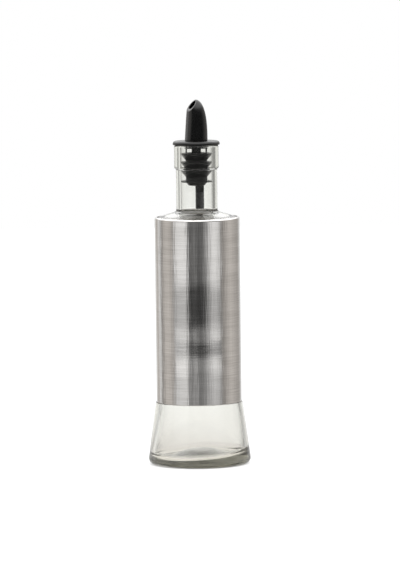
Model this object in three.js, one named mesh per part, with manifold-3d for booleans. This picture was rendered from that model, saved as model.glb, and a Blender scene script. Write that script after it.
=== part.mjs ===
// Oil cruet: a flared glass bottle in a stainless-steel sleeve, closed by a black pourer.
// Millimetres, +Z up. The origin is the middle of the bearing ring, on the bench, and the
// spout pours towards -X.
import * as THREE from "three";
import { mergeVertices } from "three/addons/utils/BufferGeometryUtils.js";
import Module from "manifold-3d";

const wasm = await Module();
wasm.setup();

// Clearances between pieces that seat on, slide in or turn in each other.
const SEAT_GAP = 0.1;
const TURN_GAP = 0.15;
const FIN_GAP = 0.3;

// Glass bottle: foot, floor, body, shoulder, neck and finish, from the bench up.
const FOOT_HEIGHT = 40;
const FOOT_FLARE = 5.4;
const FOOT_WALL = 3.3;
const FOOT_BEND = 12;
const HEEL_FILLET = 3.5;
const LEDGE_PROUD = 0.5;
const BEARING_SET_IN = 9.2;
const PUSH_UP = 5;
const FLOOR_EDGE = 5.2;
const FLOOR_DOME = 4.4;
const FLOOR_RIM = 7.6;
const FLOOR_FILLET = 4;
const BODY_RADIUS = 26.25;
const BODY_WALL = 3;
const SHOULDER_RISE = 4;
const SHOULDER_WALL = 3.4;
const SHOULDER_FILLET = 3;
const SHOULDER_INNER_FILLET = 5;
const BORE_RADIUS = 10.25;
const BORE_FILLET = 0.8;
const NECK_WALL = 2.95;
const NECK_LENGTH = 26.9;
const NECK_ROOT_FILLET = 1.5;
const NECK_INNER_FILLET = 3;
const FINISH_PROUD = 1.05;
const FINISH_STEP = 1;
const FINISH_HEIGHT = 14.5;
const FINISH_FILLET = 1.2;
const FINISH_STEP_FILLET = 0.7;

// Steel sleeve and the two adhesive bands that hold it.
const SLEEVE_SHEET = 0.5;
const SLEEVE_LENGTH = 118.3;
const SLEEVE_LIP_RADIUS = 1.6;
const BOND_THICKNESS = 0.3;
const BOND_WIDTH = 12;
const BOND_END_DISTANCE = 10;

// Pour spout: a beak cut at a slant, a spigot that plugs into the stopper, and a pour pipe.
const BEAK_RADIUS = 7;
const BEAK_HEIGHT = 26.3;
const BEAK_SQUARENESS = 2.5;
const BEAK_CROWN_POWER = 2.6;
const BEAK_SIDE_POWER = 4.5;
const BEAK_FRONT_TAPER = 0.075;
const BEAK_WALL = 1.2;
const CROWN_WALL = 0.9;
const TIP_REACH = 85;
const MOUTH_LIP_HEIGHT = 18.6;
const MOUTH_ANGLE = 53;
const PIPE_RADIUS = 3;
const PIPE_WALL = 0.9;
const AIR_GAP = 2.7;
const SPIGOT_LENGTH = 4.4;
const SPIGOT_WALL = 1.2;
const SPIGOT_FLOOR = 1.2;

// Ribbed stopper: flange, boss, windowed waist, conical fins, thin wiper and tapered end. It
// stands turned from the pouring direction, as the spout turns freely in it.
const STOPPER_TURN = -20;
const FLANGE_PROUD = 0.75;
const FLANGE_THICKNESS = 2.5;
const FLANGE_CROWN_FILLET = 1.8;
const FLANGE_RIM_FILLET = 0.3;
const CORE_WALL = 1.05;
const BOSS_PROUD = 0.85;
const BOSS_HEIGHT = 2.2;
const WINDOW_HEIGHT = 3;
const WINDOW_POST = 0.8;
const FIN_COUNT = 3;
const FIN_PITCH = 5.35;
const FIN_DEPTH = 4.2;
const FIN_EDGE = 1.1;
const FIN_EDGE_TAPER = 0.3;
const FIN_ROOT_STEP = 0.2;
const WIPER_DROP = 6.9;
const WIPER_THICKNESS = 0.9;
const END_HEIGHT = 2.2;
const END_WALL = 0.35;
const AIR_WAY_DEPTH = 12.2;
const PIPE_SOCKET_DEPTH = 3;
const OIL_CHAMBER_HEIGHT = 1.5;
const AIR_HOLE_RADIUS = 0.6;

// Dip tube, pressed into the stopper's end off centre, away from the pouring side.
const TUBE_RADIUS = 2.75;
const TUBE_WALL = 0.9;
const TUBE_OFFSET = 1.9;
const TUBE_DROP = 14.9;
const TUBE_CHAMFER = 0.4;

// How finely round things are divided.
const BOTTLE_SIDES = 40;
const POURER_SIDES = 36;
const TUBE_SIDES = 20;
const AIR_HOLE_SIDES = 8;
const BEAK_RINGS = 10;
const CAP_STEPS = 3;
const FILLET_STEP_ANGLE = 25;
const CUT_OVERRUN = 1;

// Places that follow from the sizes above.
const bodyInnerRadius = BODY_RADIUS - BODY_WALL;
const sleeveInnerRadius = BODY_RADIUS + SEAT_GAP + BOND_THICKNESS + SEAT_GAP;
const sleeveRadius = sleeveInnerRadius + SLEEVE_SHEET;
const ledgeRadius = sleeveRadius + LEDGE_PROUD;
const toeRadius = ledgeRadius + FOOT_FLARE;
const sleeveBottom = FOOT_HEIGHT + SEAT_GAP;
const sleeveTop = sleeveBottom + SLEEVE_LENGTH;
const shoulderEdge = sleeveTop - SLEEVE_SHEET;
const neckRoot = shoulderEdge + SHOULDER_RISE;
const neckRadius = BORE_RADIUS + NECK_WALL;
const finishRadius = neckRadius + FINISH_PROUD;
const finishBottom = neckRoot + NECK_LENGTH;
const finishTop = finishBottom + FINISH_STEP + FINISH_HEIGHT;

const spigotRadius = PIPE_RADIUS + AIR_GAP;
const airWayRadius = spigotRadius + TURN_GAP;
const socketRadius = PIPE_RADIUS + TURN_GAP;
const coreRadius = airWayRadius + CORE_WALL;
const finRadius = BORE_RADIUS - FIN_GAP;
const flangeRadius = finishRadius + FLANGE_PROUD;
const tubeHoleRadius = TUBE_RADIUS + SEAT_GAP;
const endRadius = TUBE_OFFSET + tubeHoleRadius + END_WALL;
const airHoleOffset = endRadius - END_WALL - AIR_HOLE_RADIUS;

const flangeBottom = finishTop + SEAT_GAP;
const flangeTop = flangeBottom + FLANGE_THICKNESS;
const windowTop = flangeBottom - BOSS_HEIGHT;
const firstFinTop = windowTop - WINDOW_HEIGHT;
const lastFinTop = firstFinTop - (FIN_COUNT - 1) * FIN_PITCH;
const wiperTop = lastFinTop - WIPER_DROP;
const endTop = wiperTop - WIPER_THICKNESS;
const endBottom = endTop - END_HEIGHT;
const beakBase = flangeTop + SEAT_GAP;
const spigotBottom = beakBase - SPIGOT_LENGTH;
const airWayBottom = windowTop - AIR_WAY_DEPTH;
const pipeBottom = airWayBottom - PIPE_SOCKET_DEPTH;
const oilChamberBottom = pipeBottom - OIL_CHAMBER_HEIGHT;
const tubeTop = oilChamberBottom - SEAT_GAP;
const tubeBottom = endBottom - TUBE_DROP;

const GLASS = { color: 0xeef2ee, roughness: 0.03, metalness: 0, transparent: true, opacity: 0.35 };
const STEEL = { color: 0xbab6b1, roughness: 0.28, metalness: 1 };
const BOND = { color: 0xd9d6cc, roughness: 0.8, metalness: 0 };
const SOFT_BLACK = { color: 0x2b2b2b, roughness: 0.55, metalness: 0 };
const HARD_BLACK = { color: 0x1c1c1c, roughness: 0.42, metalness: 0 };

// Outline through the given corners, [radius, height, fillet]. A corner with a fillet becomes
// an arc of that radius, tangent to both of its sides.
function outline(corners) {
  const stepAngle = THREE.MathUtils.degToRad(FILLET_STEP_ANGLE);
  const points = [];
  corners.forEach(([r, z, fillet], i) => {
    const corner = new THREE.Vector2(r, z);
    if (!fillet) {
      points.push(corner);
      return;
    }
    const [beforeR, beforeZ] = corners[(i + corners.length - 1) % corners.length];
    const [afterR, afterZ] = corners[(i + 1) % corners.length];
    const back = new THREE.Vector2(beforeR, beforeZ).sub(corner).normalize();
    const ahead = new THREE.Vector2(afterR, afterZ).sub(corner).normalize();
    const half = Math.acos(THREE.MathUtils.clamp(back.dot(ahead), -1, 1)) / 2;
    const bisector = back.clone().add(ahead).normalize();
    const centre = corner.clone().addScaledVector(bisector, fillet / Math.sin(half));
    const from = corner.clone().addScaledVector(back, fillet / Math.tan(half)).sub(centre);
    const to = corner.clone().addScaledVector(ahead, fillet / Math.tan(half)).sub(centre);
    const sweep = Math.atan2(from.cross(to), from.dot(to));
    const steps = Math.max(2, Math.ceil(Math.abs(sweep) / stepAngle));
    for (let step = 0; step <= steps; step++) {
      const turned = from.clone().rotateAround(new THREE.Vector2(), (sweep * step) / steps);
      points.push(turned.add(centre));
    }
  });
  return points;
}

// Shallow spherical cap from the axis, at height crown, down to the given edge.
function cap(edgeRadius, edgeHeight, crown) {
  const rise = crown - edgeHeight;
  const sphere = (edgeRadius ** 2 + rise ** 2) / (2 * rise);
  const points = [];
  for (let step = 0; step <= CAP_STEPS; step++) {
    const r = (edgeRadius * step) / CAP_STEPS;
    points.push(new THREE.Vector2(r, crown - sphere + Math.sqrt(sphere ** 2 - r ** 2)));
  }
  return points;
}

// Body of revolution about +Z. The outline runs anticlockwise, seen with the radius to the
// right and the height up, so that the faces point outwards.
function lathe(points, sides) {
  return new THREE.LatheGeometry(points, sides).rotateX(Math.PI / 2);
}

// Ring with a closed outline, which returns to its first point.
function ring(corners, sides) {
  const points = outline(corners);
  return lathe([...points, points[0].clone()], sides);
}

// Solid of revolution whose outline starts and ends on the axis, level with its ends.
function turned(corners, sides) {
  const points = outline(corners);
  const bottom = new THREE.Vector2(0, points[0].y);
  const top = new THREE.Vector2(0, points[points.length - 1].y);
  return lathe([bottom, ...points, top], sides);
}

// Upright cylinder between two heights, at x along the X axis.
function rod(radius, bottom, top, sides, x = 0) {
  return turned([[radius, bottom], [radius, top]], sides).translate(x, 0, 0);
}

// Closed geometry as a solid that can be joined and cut.
function solid(geometry) {
  const bare = geometry.clone();
  bare.deleteAttribute("normal");
  bare.deleteAttribute("uv");
  const merged = mergeVertices(bare);
  return new wasm.Manifold(
    new wasm.Mesh({
      numProp: 3,
      vertProperties: new Float32Array(merged.attributes.position.array),
      triVerts: new Uint32Array(merged.index.array),
    }),
  );
}

// Geometry of a solid that was joined and cut.
function geometryOf(made) {
  const mesh = made.getMesh();
  const geometry = new THREE.BufferGeometry();
  geometry.setAttribute("position", new THREE.BufferAttribute(mesh.vertProperties, mesh.numProp));
  geometry.setIndex(new THREE.BufferAttribute(mesh.triVerts, 1));
  geometry.computeVertexNormals();
  return geometry;
}

function piece(name, geometry, finish) {
  const mesh = new THREE.Mesh(geometry, new THREE.MeshStandardMaterial(finish));
  mesh.name = name;
  return mesh;
}

// Glass bottle, one outline from the underside's push-up, up the outside and down the inside.
function glassBottle() {
  const footSlope = FOOT_FLARE / FOOT_HEIGHT;
  const footInner = (z) => toeRadius - FOOT_WALL - z * footSlope;
  const bendHeight = (toeRadius - FOOT_WALL - bodyInnerRadius) / footSlope;
  const shoulderSlope = SHOULDER_RISE / (BODY_RADIUS - neckRadius);
  const shoulderInner = (r) => shoulderEdge + (BODY_RADIUS - r) * shoulderSlope - SHOULDER_WALL;
  const rimFillet = (fillet) => Math.min(fillet, (finishRadius - BORE_RADIUS) / 3);
  const bearingInner = toeRadius - BEARING_SET_IN;
  const domeRadius = footInner(FLOOR_EDGE) - FLOOR_RIM;

  const wall = outline([
    [bearingInner, 0],
    [toeRadius, 0, HEEL_FILLET],
    [ledgeRadius, FOOT_HEIGHT],
    [BODY_RADIUS, FOOT_HEIGHT],
    [BODY_RADIUS, shoulderEdge, SHOULDER_FILLET],
    [neckRadius, neckRoot, NECK_ROOT_FILLET],
    [neckRadius, finishBottom, FINISH_STEP_FILLET],
    [finishRadius, finishBottom + FINISH_STEP, FINISH_STEP_FILLET],
    [finishRadius, finishTop, rimFillet(FINISH_FILLET)],
    [BORE_RADIUS, finishTop, rimFillet(BORE_FILLET)],
    [BORE_RADIUS, shoulderInner(BORE_RADIUS), NECK_INNER_FILLET],
    [bodyInnerRadius, shoulderInner(bodyInnerRadius), SHOULDER_INNER_FILLET],
    [bodyInnerRadius, bendHeight, FOOT_BEND],
    [footInner(FLOOR_EDGE), FLOOR_EDGE, FLOOR_FILLET],
    [domeRadius, FLOOR_EDGE],
  ]);
  const underside = cap(bearingInner, 0, PUSH_UP).slice(0, -1);
  const floor = cap(domeRadius, FLOOR_EDGE, FLOOR_EDGE + FLOOR_DOME).slice(0, -1).reverse();
  return piece("glass_bottle", lathe([...underside, ...wall, ...floor], BOTTLE_SIDES), GLASS);
}

// Steel sleeve: a plain tube that stands on the foot's ledge, its top edge turned in.
function steelSleeve() {
  const lipEdge = sleeveRadius - SLEEVE_LIP_RADIUS;
  const corners = [
    [sleeveInnerRadius, sleeveBottom],
    [sleeveRadius, sleeveBottom],
    [sleeveRadius, sleeveTop, SLEEVE_LIP_RADIUS],
    [lipEdge, sleeveTop],
    [lipEdge, sleeveTop - SLEEVE_SHEET],
    [sleeveInnerRadius, sleeveTop - SLEEVE_SHEET, SLEEVE_LIP_RADIUS - SLEEVE_SHEET],
  ];
  return piece("steel_sleeve", ring(corners, BOTTLE_SIDES), STEEL);
}

// Adhesive band between the glass and the sleeve.
function bondBand(name, bottom) {
  const inner = BODY_RADIUS + SEAT_GAP;
  const outer = inner + BOND_THICKNESS;
  const corners = [
    [inner, bottom],
    [outer, bottom],
    [outer, bottom + BOND_WIDTH],
    [inner, bottom + BOND_WIDTH],
  ];
  return piece(name, ring(corners, BOTTLE_SIDES), BOND);
}

// Soft stopper, one moulding. Air comes in through the windows of its waist, goes down the
// way round the pour pipe and through a small hole in the end. Oil comes up the dip tube.
function ribbedStopper() {
  const fins = [];
  for (let i = FIN_COUNT - 1; i >= 0; i--) {
    const top = firstFinTop - i * FIN_PITCH;
    fins.push(
      [coreRadius, top - FIN_DEPTH],
      [coreRadius + FIN_ROOT_STEP, top - FIN_DEPTH],
      [finRadius - FIN_EDGE_TAPER, top - FIN_EDGE],
      [finRadius, top],
      [coreRadius, top],
    );
  }
  const blank = turned(
    [
      [endRadius, endBottom],
      [coreRadius, endTop],
      [finRadius, endTop],
      [finRadius, wiperTop],
      [coreRadius, wiperTop],
      ...fins,
      [coreRadius, windowTop],
      [coreRadius + BOSS_PROUD, windowTop],
      [coreRadius + BOSS_PROUD, flangeBottom],
      [flangeRadius, flangeBottom, FLANGE_RIM_FILLET],
      [flangeRadius, flangeTop, FLANGE_CROWN_FILLET],
      [airWayRadius, flangeTop],
    ],
    POURER_SIDES,
  );
  const windowWidth = 2 * (coreRadius - WINDOW_POST);
  const windows = new THREE.BoxGeometry(windowWidth, 2 * finRadius, WINDOW_HEIGHT);
  windows.translate(0, 0, windowTop - WINDOW_HEIGHT / 2);
  const endCut = endBottom - CUT_OVERRUN;
  const cuts = [
    rod(airWayRadius, airWayBottom, flangeTop + CUT_OVERRUN, POURER_SIDES),
    rod(socketRadius, oilChamberBottom, airWayBottom + CUT_OVERRUN, POURER_SIDES),
    rod(tubeHoleRadius, endCut, oilChamberBottom + CUT_OVERRUN / 2, TUBE_SIDES, TUBE_OFFSET),
    rod(AIR_HOLE_RADIUS, endCut, airWayBottom + CUT_OVERRUN, AIR_HOLE_SIDES, -airHoleOffset),
    windows,
  ];
  const made = cuts.reduce((left, cut) => left.subtract(solid(cut)), solid(blank));
  return piece("ribbed_stopper", geometryOf(made), SOFT_BLACK);
}

// Beak shape of the given base radius and height: squarish slices whose front leans in evenly
// and whose back and sides curve over to the tip.
function beak(radius, crown) {
  const squarish = (share) => Math.sign(share) * Math.abs(share) ** (2 / BEAK_SQUARENESS);
  const positions = [];
  const indices = [];
  for (let slice = 0; slice <= BEAK_RINGS; slice++) {
    // Slices crowd towards the tip, where the back curves most.
    const share = Math.sin(THREE.MathUtils.degToRad((slice / BEAK_RINGS) * TIP_REACH));
    const height = crown * share;
    const back = radius * Math.sqrt(1 - share ** BEAK_CROWN_POWER);
    const front = radius - BEAK_FRONT_TAPER * height;
    const halfWidth = radius * Math.sqrt(1 - share ** BEAK_SIDE_POWER);
    const centre = (back - front) / 2;
    const reach = (back + front) / 2;
    for (let side = 0; side < POURER_SIDES; side++) {
      const turn = (side / POURER_SIDES) * 2 * Math.PI;
      const x = centre + reach * squarish(Math.cos(turn));
      positions.push(x, halfWidth * squarish(Math.sin(turn)), beakBase + height);
    }
  }
  const vertex = (slice, side) => slice * POURER_SIDES + (side % POURER_SIDES);
  for (let slice = 0; slice < BEAK_RINGS; slice++) {
    for (let side = 0; side < POURER_SIDES; side++) {
      const [a, b] = [vertex(slice, side), vertex(slice, side + 1)];
      const [c, d] = [vertex(slice + 1, side + 1), vertex(slice + 1, side)];
      indices.push(a, b, c, a, c, d);
    }
  }
  for (let side = 1; side < POURER_SIDES - 1; side++) {
    indices.push(vertex(0, 0), vertex(0, side + 1), vertex(0, side));
    indices.push(vertex(BEAK_RINGS, 0), vertex(BEAK_RINGS, side), vertex(BEAK_RINGS, side + 1));
  }
  const geometry = new THREE.BufferGeometry();
  geometry.setAttribute("position", new THREE.Float32BufferAttribute(positions, 3));
  geometry.setIndex(indices);
  return solid(geometry);
}

// Block that takes away everything in front of the slanted mouth.
function mouthCut() {
  const size = 2 * BEAK_HEIGHT;
  const lipX = BEAK_FRONT_TAPER * MOUTH_LIP_HEIGHT - BEAK_RADIUS;
  const block = new THREE.BoxGeometry(size, size, size).translate(0, 0, size / 2);
  block.rotateY(-THREE.MathUtils.degToRad(MOUTH_ANGLE)).translate(lipX, 0, beakBase + MOUTH_LIP_HEIGHT);
  return solid(block);
}

// Pour spout: beak, spigot and pour pipe are one moulding. The beak's hollow reaches down into
// the spigot, whose floor carries the pipe.
function pourSpout() {
  const spigotTop = beakBase + BEAK_WALL;
  const wellBottom = spigotBottom + SPIGOT_FLOOR;
  const spigot = rod(spigotRadius, spigotBottom, spigotTop, POURER_SIDES);
  const pipe = rod(PIPE_RADIUS, pipeBottom, spigotBottom + SPIGOT_FLOOR / 2, POURER_SIDES);
  const well = rod(spigotRadius - SPIGOT_WALL, wellBottom, spigotTop + CUT_OVERRUN, POURER_SIDES);
  const boreTop = wellBottom + CUT_OVERRUN;
  const pipeBore = rod(PIPE_RADIUS - PIPE_WALL, pipeBottom - CUT_OVERRUN, boreTop, POURER_SIDES);
  const base = rod(BEAK_RADIUS, beakBase - CUT_OVERRUN, spigotTop, POURER_SIDES);
  const hollow = beak(BEAK_RADIUS - BEAK_WALL, BEAK_HEIGHT - CROWN_WALL);
  const made = beak(BEAK_RADIUS, BEAK_HEIGHT)
    .add(solid(spigot))
    .add(solid(pipe))
    .subtract(hollow.subtract(solid(base)))
    .subtract(solid(well))
    .subtract(solid(pipeBore))
    .subtract(mouthCut());
  return piece("pour_spout", geometryOf(made), HARD_BLACK);
}

// Dip tube, its lower rim chamfered.
function dipTube() {
  const bore = TUBE_RADIUS - TUBE_WALL;
  const corners = [
    [bore, tubeBottom],
    [TUBE_RADIUS - TUBE_CHAMFER, tubeBottom],
    [TUBE_RADIUS, tubeBottom + TUBE_CHAMFER],
    [TUBE_RADIUS, tubeTop],
    [bore, tubeTop],
  ];
  const tube = piece("dip_tube", ring(corners, TUBE_SIDES), HARD_BLACK);
  tube.position.x = TUBE_OFFSET;
  return tube;
}

const bottle = new THREE.Group();
bottle.add(
  glassBottle(),
  steelSleeve(),
  bondBand("lower_bond_band", sleeveBottom + BOND_END_DISTANCE),
  bondBand("upper_bond_band", sleeveTop - SLEEVE_LIP_RADIUS - BOND_END_DISTANCE - BOND_WIDTH),
);

const stopper = new THREE.Group();
stopper.add(ribbedStopper(), dipTube());
stopper.rotation.z = THREE.MathUtils.degToRad(STOPPER_TURN);

const pourer = new THREE.Group();
pourer.add(stopper, pourSpout());

const cruet = new THREE.Group();
cruet.add(bottle, pourer);

export default cruet;
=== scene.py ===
"""Oil cruet: a flared glass bottle in a brushed steel sleeve, closed by a black pourer."""
import logging
import math
from dataclasses import dataclass
from enum import Enum
from typing import Any, Sequence

import bmesh
import bpy
import numpy as np
from mathutils import Matrix, Vector


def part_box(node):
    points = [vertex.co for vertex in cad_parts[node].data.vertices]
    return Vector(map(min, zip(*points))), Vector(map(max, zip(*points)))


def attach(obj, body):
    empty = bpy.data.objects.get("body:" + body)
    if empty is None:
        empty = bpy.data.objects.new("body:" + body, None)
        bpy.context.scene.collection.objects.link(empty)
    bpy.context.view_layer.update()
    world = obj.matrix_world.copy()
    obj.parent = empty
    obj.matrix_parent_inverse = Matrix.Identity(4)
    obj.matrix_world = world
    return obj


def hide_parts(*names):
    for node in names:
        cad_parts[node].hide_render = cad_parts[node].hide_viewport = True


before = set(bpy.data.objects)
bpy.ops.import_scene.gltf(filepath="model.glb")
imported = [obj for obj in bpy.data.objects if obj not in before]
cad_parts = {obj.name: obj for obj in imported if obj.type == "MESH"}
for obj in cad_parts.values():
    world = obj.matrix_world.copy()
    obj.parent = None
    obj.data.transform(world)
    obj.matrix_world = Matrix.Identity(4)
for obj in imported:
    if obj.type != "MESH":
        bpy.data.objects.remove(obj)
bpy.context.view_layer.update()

LOG = logging.getLogger("oil_cruet")

# Millimetres to the frame's metres.
MM = 0.001
# Points that lie closer than this are one.
WELD = 0.001 * MM
FULL_TURN = 2 * math.pi
# Small turns, in radians, that keep the edges of dots and cutters off the seams of what they meet.
DOT_TURN = 0.0043
CUTTER_TURN = 0.03

Tree = bpy.types.NodeTree
Node = bpy.types.Node
Socket = bpy.types.NodeSocket
Finish = bpy.types.Material
Piece = bpy.types.Object
Numbers = float | np.ndarray
Point = tuple[float, float]
# A corner of a turned section: radius, height and, where it is rounded, the fillet's radius.
Corner = tuple[float, ...]
# A row of a table: the comment at the table says what its numbers are.
Row = tuple[float, float, float, float]


class Body(Enum):
    """The bodies of the mechanism that the pieces ride on."""

    BOTTLE = "bottle"
    STOPPER = "stopper"
    SPOUT = "spout"


class Slot(Enum):
    """The record's material slots."""

    GLASS = "glass"
    STEEL = "sleeve_steel"
    BOND = "bond"
    ELASTOMER = "stopper_elastomer"
    PLASTIC = "spout_plastic"


def linear(code: str) -> tuple[float, float, float, float]:
    """Turn an sRGB hex colour into the linear colour that shaders take.

    Args:
        code: The colour as "#rrggbb".

    Returns:
        Linear red, green and blue, and an alpha of one.
    """
    shares = [int(code[i:i + 2], 16) / 255 for i in (1, 3, 5)]
    r, g, b = (s / 12.92 if s <= 0.04045 else ((s + 0.055) / 1.055) ** 2.4 for s in shares)
    return (r, g, b, 1.0)


def add_node(tree: Tree, kind: str, inputs: dict[Any, Any] | None = None, **settings: Any) -> Node:
    """Add a node with its settings, values and links.

    Args:
        tree: The tree that gets the node.
        kind: The node's type.
        inputs: For a socket's name or number, the value to set or what to link to it: another
            node's socket, or a node for its first output.
        settings: The node's own properties.

    Returns:
        The new node.
    """
    made = tree.nodes.new(kind)
    for name, value in settings.items():
        setattr(made, name, value)
    for key, value in (inputs or {}).items():
        if isinstance(value, Node):
            value = value.outputs[0]
        if isinstance(value, Socket):
            tree.links.new(value, made.inputs[key])
        else:
            made.inputs[key].default_value = value
    return made


def set_stops(ramp: bpy.types.ColorRamp, stops: Sequence[tuple[float, Sequence[float]]]) -> None:
    """Give a colour ramp its stops.

    Args:
        ramp: The ramp, with the two stops that a new one has.
        stops: Each stop's position and colour, in order.
    """
    while len(ramp.elements) < len(stops):
        ramp.elements.new(1.0)
    for element, (position, colour) in zip(ramp.elements, stops):
        element.position = position
        element.color = colour


def new_material(name: str) -> tuple[Finish, Tree, Socket, Socket]:
    """Make an empty material.

    Args:
        name: The material's name.

    Returns:
        The material, its tree, its Surface socket and the socket of its Object coordinates.
    """
    material = bpy.data.materials.new(name)
    material.use_nodes = True
    tree = material.node_tree
    tree.nodes.clear()
    surface = add_node(tree, "ShaderNodeOutputMaterial").inputs["Surface"]
    place = add_node(tree, "ShaderNodeTexCoord").outputs["Object"]
    return material, tree, surface, place


@dataclass(frozen=True)
class ClearGlass:
    """Clear soda-lime glass, blown in a mould and fire-polished."""

    name: str = "soda_lime_glass_fire_polished"
    ior: float = 1.52
    # The glass takes about a fortieth of the light in each millimetre, most of it from the blue.
    absorbed: str = "#bdbbaa"
    density: float = 44.0
    wave_size: float = 11.0
    wave_height: float = 0.035
    # The underside is stippled: points below the bowl between the two faces of the floor.
    stipple: float = 0.9
    stipple_depth: float = 0.06
    stipple_roughness: float = 0.24
    bowl_height: float = 7.2
    bowl_bend: float = 0.0087
    bowl_blur: float = 0.3

    def build(self) -> Finish:
        """Make the material: clear, with slow waves, a stippled underside and a grey depth.

        Returns:
            The material.
        """
        material, tree, surface, place = new_material(self.name)
        # The mould's chill leaves slow waves, which bend what is seen through the glass.
        waves = add_node(
            tree, "ShaderNodeTexNoise",
            {"Vector": place, "Scale": 1 / (self.wave_size * MM), "Detail": 1.0, "Roughness": 0.4},
        )
        waved = add_node(
            tree, "ShaderNodeBump", {"Height": waves, "Strength": 1.0, "Distance": self.wave_height * MM}
        )
        flat = add_node(tree, "ShaderNodeVectorMath", {0: place, 1: (1, 1, 0)}, operation="MULTIPLY")
        square = add_node(
            tree, "ShaderNodeVectorMath", {0: flat, 1: flat}, operation="DOT_PRODUCT"
        ).outputs["Value"]
        height = add_node(tree, "ShaderNodeSeparateXYZ", {0: place}).outputs["Z"]
        bowl = add_node(
            tree, "ShaderNodeMath", {0: square, 1: self.bowl_bend / MM, 2: height}, operation="MULTIPLY_ADD"
        )
        low, high = (self.bowl_height - self.bowl_blur) * MM, (self.bowl_height + self.bowl_blur) * MM
        under = add_node(tree, "ShaderNodeMapRange", {"Value": bowl, 1: low, 2: high, 3: 1.0, 4: 0.0})
        rough = add_node(
            tree, "ShaderNodeMath", {0: under, 1: self.stipple_roughness}, operation="MULTIPLY"
        )
        dots = add_node(
            tree, "ShaderNodeTexVoronoi", {"Vector": place, "Scale": 1 / (self.stipple * MM)}
        )
        dented = add_node(tree, "ShaderNodeMath", {0: dots, 1: under}, operation="MULTIPLY")
        stippled = add_node(
            tree, "ShaderNodeBump",
            {"Height": dented, "Strength": 1.0, "Distance": self.stipple_depth * MM, "Normal": waved},
        )
        glass = add_node(
            tree, "ShaderNodeBsdfPrincipled",
            {
                "Base Color": (1, 1, 1, 1),
                "Roughness": rough,
                "IOR": self.ior,
                "Transmission Weight": 1.0,
                "Normal": stippled,
            },
        )
        tree.links.new(glass.outputs[0], surface)
        depth = add_node(
            tree, "ShaderNodeVolumeAbsorption", {"Color": linear(self.absorbed), "Density": self.density}
        )
        tree.links.new(depth.outputs[0], surface.node.inputs["Volume"])
        return material


@dataclass(frozen=True)
class BrushedSteel:
    """Stainless steel sheet, brushed round the tube after it was rolled."""

    name: str = "stainless_steel_brushed"
    light: str = "#d8d6d4"
    dark: str = "#bcbab7"
    roughness: Point = (0.075, 0.12)
    # The values of the pattern between which its tone and gloss change.
    spread: Point = (0.3, 0.7)
    anisotropy: float = 0.75
    # The real lines are about 0.05 mm apart. They are drawn coarser, or they would not show.
    line_height: float = 0.55
    line_length: float = 26.0
    line_depth: float = 0.02
    band_height: float = 5.0
    band_share: float = 0.4
    # Rolling leaves faint flats along the tube and slow waves in the sheet.
    flat_width: float = 0.9
    flat_length: float = 24.0
    flat_depth: float = 0.1
    wave: float = 16.0
    wave_depth: float = 0.2
    # The inner face is left as rolled, dull. Its colour is painted paler to stand in for light in the dim
    # inside of the sleeve.
    inner_radius: float = 27.0
    lip_below: float = 156.2
    inner_roughness: float = 0.8
    inner_painted_light: str = "#eceae7"

    def build(self) -> Finish:
        """Make the material: fine level lines in colour, gloss and height, and broad soft bands.

        Returns:
            The material.
        """
        material, tree, surface, place = new_material(self.name)
        stretched: list[Node] = []
        for wide, tall, detail, roughness in (
            (self.line_length, self.line_height, 3.0, 0.65),
            (self.line_length, self.band_height, 2.0, 0.5),
            (self.flat_width, self.flat_length, 2.0, 0.5),
        ):
            around, along = 1 / (wide * MM), 1 / (tall * MM)
            drawn = add_node(
                tree, "ShaderNodeMapping", {"Vector": place, "Scale": (around, around, along)}
            )
            stretched.append(add_node(
                tree, "ShaderNodeTexNoise",
                {"Vector": drawn, "Scale": 1.0, "Detail": detail, "Roughness": roughness},
            ))
        lines, bands, flats = stretched
        waves = add_node(
            tree, "ShaderNodeTexNoise", {"Vector": place, "Scale": 1 / (self.wave * MM), "Detail": 1.0}
        )
        mixed = add_node(tree, "ShaderNodeMix", {0: self.band_share, 2: lines, 3: bands}, data_type="FLOAT")
        low, high = self.spread
        colour = add_node(tree, "ShaderNodeValToRGB", {"Fac": mixed})
        set_stops(colour.color_ramp, [(low, linear(self.dark)), (high, linear(self.light))])
        gloss = add_node(
            tree, "ShaderNodeMapRange",
            {"Value": mixed, 1: low, 2: high, 3: self.roughness[0], 4: self.roughness[1]},
        )
        flat = add_node(tree, "ShaderNodeVectorMath", {0: place, 1: (1, 1, 0)}, operation="MULTIPLY")
        radius = add_node(tree, "ShaderNodeVectorMath", {0: flat}, operation="LENGTH").outputs["Value"]
        height = add_node(tree, "ShaderNodeSeparateXYZ", {0: place}).outputs["Z"]
        within, below = (
            add_node(tree, "ShaderNodeMath", {0: value, 1: limit * MM}, operation="LESS_THAN")
            for value, limit in ((radius, self.inner_radius), (height, self.lip_below))
        )
        inside = add_node(tree, "ShaderNodeMath", {0: within, 1: below}, operation="MULTIPLY")
        dull = add_node(
            tree, "ShaderNodeMix", {0: inside, 2: gloss, 3: self.inner_roughness}, data_type="FLOAT"
        )
        # Inside the sleeve the colour is the painted paler tone that stands in for light there.
        shade = add_node(
            tree, "ShaderNodeMix", {0: inside, 6: colour, 7: linear(self.inner_painted_light)}, data_type="RGBA"
        ).outputs[2]
        bump: Node | None = None
        for pattern, depth in (
            (waves, self.wave_depth), (flats, self.flat_depth), (lines, self.line_depth)
        ):
            relief = {"Height": pattern, "Strength": 1.0, "Distance": depth * MM}
            if bump:
                relief["Normal"] = bump
            bump = add_node(tree, "ShaderNodeBump", relief)
        tangent = add_node(tree, "ShaderNodeTangent", direction_type="RADIAL", axis="Z")
        # Lines round the tube draw the highlights out along it, across the lines.
        steel = add_node(
            tree, "ShaderNodeBsdfPrincipled",
            {
                "Base Color": shade,
                "Metallic": 1.0,
                "Roughness": dull,
                "Anisotropic": self.anisotropy,
                "Anisotropic Rotation": 0.25,
                "Tangent": tangent,
                "Normal": bump,
            },
        )
        tree.links.new(steel.outputs[0], surface)
        return material


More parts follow.
